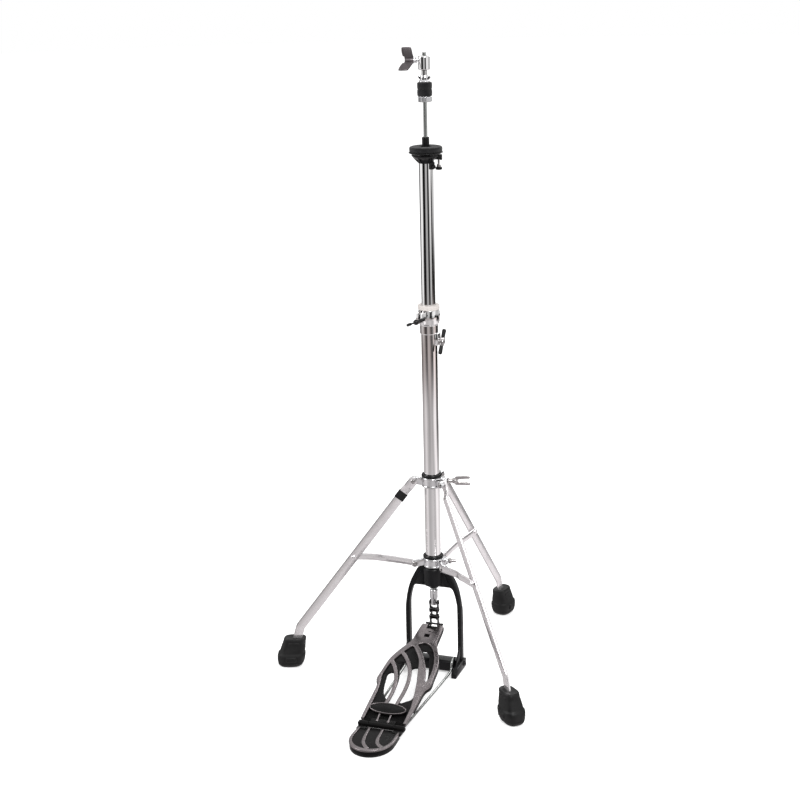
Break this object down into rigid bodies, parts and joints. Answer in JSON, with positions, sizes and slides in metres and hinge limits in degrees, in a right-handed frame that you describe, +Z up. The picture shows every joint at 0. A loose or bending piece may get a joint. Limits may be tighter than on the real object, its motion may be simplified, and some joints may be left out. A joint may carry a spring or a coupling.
{
  "type": "hi-hat stand with foot pedal",
  "caption": "Foot-operated cymbal stand: chrome telescoping column on a folding tripod, pull rod with felted clutch, cast pedal linked by chain.",
  "frame": {"origin": "middle of the footprint's bounding box, on the floor", "axes": "+Z up along the column, -Y towards the pedal's heel, +X to the player's right when seated behind the heel"},
  "size_m": [0.4534, 0.5952, 1.0092],
  "materials": {
    "polished_chrome": "mirror-polished plated steel",
    "rod_steel": "bright drawn steel",
    "black_powder_coat": "satin black powder coat on a casting",
    "pewter_casting": "fine satin pewter-grey cast metal",
    "gunmetal_casting": "satin gunmetal casting",
    "black_rubber": "moulded black rubber",
    "black_plastic": "moulded black plastic",
    "cream_plastic": "moulded cream plastic",
    "black_felt": "pressed black wool felt",
    "dark_chain_steel": "oiled dark chain steel",
    "spring_wire": "drawn spring wire"
  },
  "bodies": {
    "stand": {"lower_tube": "polished_chrome", "tube_receiver": "polished_chrome", "pedal_frame": "black_powder_coat", "frame_crossbar": "black_powder_coat", "frame_bolt": "dark_chain_steel", "radius_rod_left": "rod_steel", "radius_rod_right": "rod_steel", "heel_plate": "pewter_casting", "heel_pad": "black_rubber", "hinge_pin": "dark_chain_steel", "spring_seat": "spring_wire", "return_spring": "spring_wire"},
    "height_bolt": {"height_t_bolt": "polished_chrome"},
    "upper_column": {"upper_tube": "polished_chrome", "seat_base": "black_plastic", "rod_guide": "black_plastic", "seat_sleeve": "black_plastic"},
    "seat_lock_screw": {"seat_set_screw": "black_plastic"},
    "cymbal_seat": {"seat_cup": "black_plastic", "seat_felt": "black_felt"},
    "tilt_thumb_screw": {"tilt_screw": "dark_chain_steel"},
    "height_lock": {"memory_lock": "polished_chrome", "lock_collar": "cream_plastic"},
    "height_lock_screw": {"memory_lock_handle": "polished_chrome"},
    "rod": {"pull_rod": "rod_steel", "rod_clevis": "polished_chrome", "spring_cap": "spring_wire"},
    "clutch": {"clutch_body": "polished_chrome", "clutch_top_nut": "polished_chrome", "clutch_felt_upper": "black_felt", "clutch_felt_lower": "black_felt"},
    "clutch_nut": {"clutch_bottom_nut": "polished_chrome"},
    "clutch_screw": {"clutch_wing_screw": "gunmetal_casting"},
    "chain": {"chain_link_top": "dark_chain_steel", "chain_link_middle": "dark_chain_steel", "chain_link_bottom": "dark_chain_steel"},
    "pedal": {"footboard": "pewter_casting", "footboard_badge": "gunmetal_casting", "toe_pin": "dark_chain_steel"},
    "tripod_base": {"lower_collar": "polished_chrome", "lower_collar_ring": "black_plastic", "strut_pin_1": "polished_chrome", "strut_pin_2": "polished_chrome", "strut_pin_3": "polished_chrome"},
    "tripod_base_bolt": {"lower_collar_bolt": "polished_chrome"},
    "tripod_slider": {"upper_collar": "polished_chrome", "upper_collar_ring": "black_plastic", "leg_pin_1": "polished_chrome", "leg_pin_2": "polished_chrome", "leg_pin_3": "polished_chrome"},
    "tripod_wing_screw": {"upper_wing_screw": "polished_chrome"},
    "tripod_leg_1": {"leg_1": "polished_chrome", "foot_1": "black_rubber"},
    "tripod_strut_1": {"strut_1": "polished_chrome"},
    "tripod_leg_2": {"leg_2": "polished_chrome", "foot_2": "black_rubber"},
    "tripod_strut_2": {"strut_2": "polished_chrome"},
    "tripod_leg_3": {"leg_3": "polished_chrome", "foot_3": "black_rubber"},
    "tripod_strut_3": {"strut_3": "polished_chrome"}
  },
  "joints": [
    {"name": "footboard_press", "type": "hinge", "parent": "stand", "child": "pedal", "pos_m": [0.02536, -0.21762, 0.012], "axis": [-1, 0, 0], "range_deg": [0, 8.5]},
    {"name": "rod_pull", "type": "slide", "parent": "stand", "child": "rod", "axis": [0, 0, 1], "range_m": [-0.0396, 0], "stiffness_N_per_m": 420, "springref_m": 0.05, "deforming": ["return_spring"]},
    {"name": "chain_swing", "type": "hinge", "parent": "rod", "child": "chain", "pos_m": [0.02536, 0.03938, 0.1096], "axis": [1, 0, 0], "range_deg": [0, 9.3]},
    {"name": "clutch_slide", "type": "slide", "parent": "rod", "child": "clutch", "axis": [0, 0, 1], "range_m": [-0.042, 0.004]},
    {"name": "clutch_screw_turn", "type": "hinge", "parent": "clutch", "child": "clutch_screw", "pos_m": [0.02536, 0.03938, 0.9892], "axis": [-0.9455, -0.3256, 0], "range_deg": [-25, 25]},
    {"name": "clutch_nut_turn", "type": "hinge", "parent": "clutch", "child": "clutch_nut", "pos_m": [0.02536, 0.03938, 0.9314], "axis": [0, 0, 1], "range_deg": [-180, 180]},
    {"name": "column_height", "type": "slide", "parent": "stand", "child": "upper_column", "axis": [0, 0, 1], "range_m": [-0.2, 0.015]},
    {"name": "tilt_screw_turn", "type": "hinge", "parent": "upper_column", "child": "tilt_thumb_screw", "pos_m": [0.04443, 0.04343, 0.83], "axis": [0, 0, 1], "range_deg": [0, 900]},
    {"name": "seat_tilt", "type": "hinge", "parent": "upper_column", "child": "cymbal_seat", "pos_m": [0.00433, 0.03491, 0.849], "axis": [0.2079, -0.9781, 0], "range_deg": [0, 6]},
    {"name": "seat_lock_screw_turn", "type": "hinge", "parent": "upper_column", "child": "seat_lock_screw", "pos_m": [0.02536, 0.03938, 0.8305], "axis": [0.8988, -0.4384, 0], "range_deg": [-45, 45]},
    {"name": "height_lock_slide", "type": "slide", "parent": "stand", "child": "height_lock", "axis": [0, 0, 1], "range_m": [0, 0.15]},
    {"name": "height_lock_screw_turn", "type": "hinge", "parent": "height_lock", "child": "height_lock_screw", "pos_m": [0.02536, 0.03938, 0.59], "axis": [-0.4384, -0.8988, 0], "range_deg": [-40, 40]},
    {"name": "height_bolt_turn", "type": "hinge", "parent": "stand", "child": "height_bolt", "pos_m": [0.02536, 0.03938, 0.5557], "axis": [0.9877, -0.1564, 0], "range_deg": [-90, 90]},
    {"name": "tripod_swivel", "type": "hinge", "parent": "stand", "child": "tripod_base", "pos_m": [0.02536, 0.03938, 0.1829], "axis": [0, 0, 1], "range_deg": [-24, 30]},
    {"name": "base_bolt_turn", "type": "hinge", "parent": "tripod_base", "child": "tripod_base_bolt", "pos_m": [0.02536, 0.03938, 0.1829], "axis": [0.9511, 0.309, 0], "range_deg": [-60, 60]},
    {"name": "tripod_fold", "type": "slide", "parent": "tripod_base", "child": "tripod_slider", "axis": [0, 0, 1], "range_m": [0, 0.1108]},
    {"name": "tripod_screw_turn", "type": "hinge", "parent": "tripod_slider", "child": "tripod_wing_screw", "pos_m": [0.02536, 0.03938, 0.3215], "axis": [0.9511, 0.309, 0], "range_deg": [-60, 60]},
    {"name": "leg_1_fold", "type": "hinge", "parent": "tripod_slider", "child": "tripod_leg_1", "pos_m": [-0.00346, 0.03002, 0.3236], "axis": [0.309, -0.9511, 0], "range_deg": [0, 23.6]},
    {"name": "strut_1_fold", "type": "hinge", "parent": "tripod_base", "child": "tripod_strut_1", "pos_m": [-0.00346, 0.03002, 0.1797], "axis": [-0.309, 0.9511, 0], "range_deg": [0, 60.8]},
    {"name": "leg_2_fold", "type": "hinge", "parent": "tripod_slider", "child": "tripod_leg_2", "pos_m": [0.03166, 0.06902, 0.3236], "axis": [-0.9781, 0.2079, 0], "range_deg": [0, 23.6]},
    {"name": "strut_2_fold", "type": "hinge", "parent": "tripod_base", "child": "tripod_strut_2", "pos_m": [0.03166, 0.06902, 0.1797], "axis": [0.9781, -0.2079, 0], "range_deg": [0, 60.8]},
    {"name": "leg_3_fold", "type": "hinge", "parent": "tripod_slider", "child": "tripod_leg_3", "pos_m": [0.04787, 0.01911, 0.3236], "axis": [0.6691, 0.7431, 0], "range_deg": [0, 23.6]},
    {"name": "strut_3_fold", "type": "hinge", "parent": "tripod_base", "child": "tripod_strut_3", "pos_m": [0.04787, 0.01911, 0.1797], "axis": [-0.6691, -0.7431, 0], "range_deg": [0, 60.8]}
  ],
  "couplings": [
    {"joint": "rod_pull", "follows": "footboard_press", "m_per_rad": -0.2635},
    {"joint": "chain_swing", "follows": "footboard_press", "ratio": 1.0603},
    {"joint": "seat_tilt", "follows": "tilt_screw_turn", "ratio": 0.0066667},
    {"joint": "leg_1_fold", "follows": "tripod_fold", "rad_per_m": 3.7017},
    {"joint": "strut_1_fold", "follows": "tripod_fold", "rad_per_m": 9.5615},
    {"joint": "leg_2_fold", "follows": "tripod_fold", "rad_per_m": 3.7017},
    {"joint": "strut_2_fold", "follows": "tripod_fold", "rad_per_m": 9.5615},
    {"joint": "leg_3_fold", "follows": "tripod_fold", "rad_per_m": 3.7017},
    {"joint": "strut_3_fold", "follows": "tripod_fold", "rad_per_m": 9.5615}
  ]
}
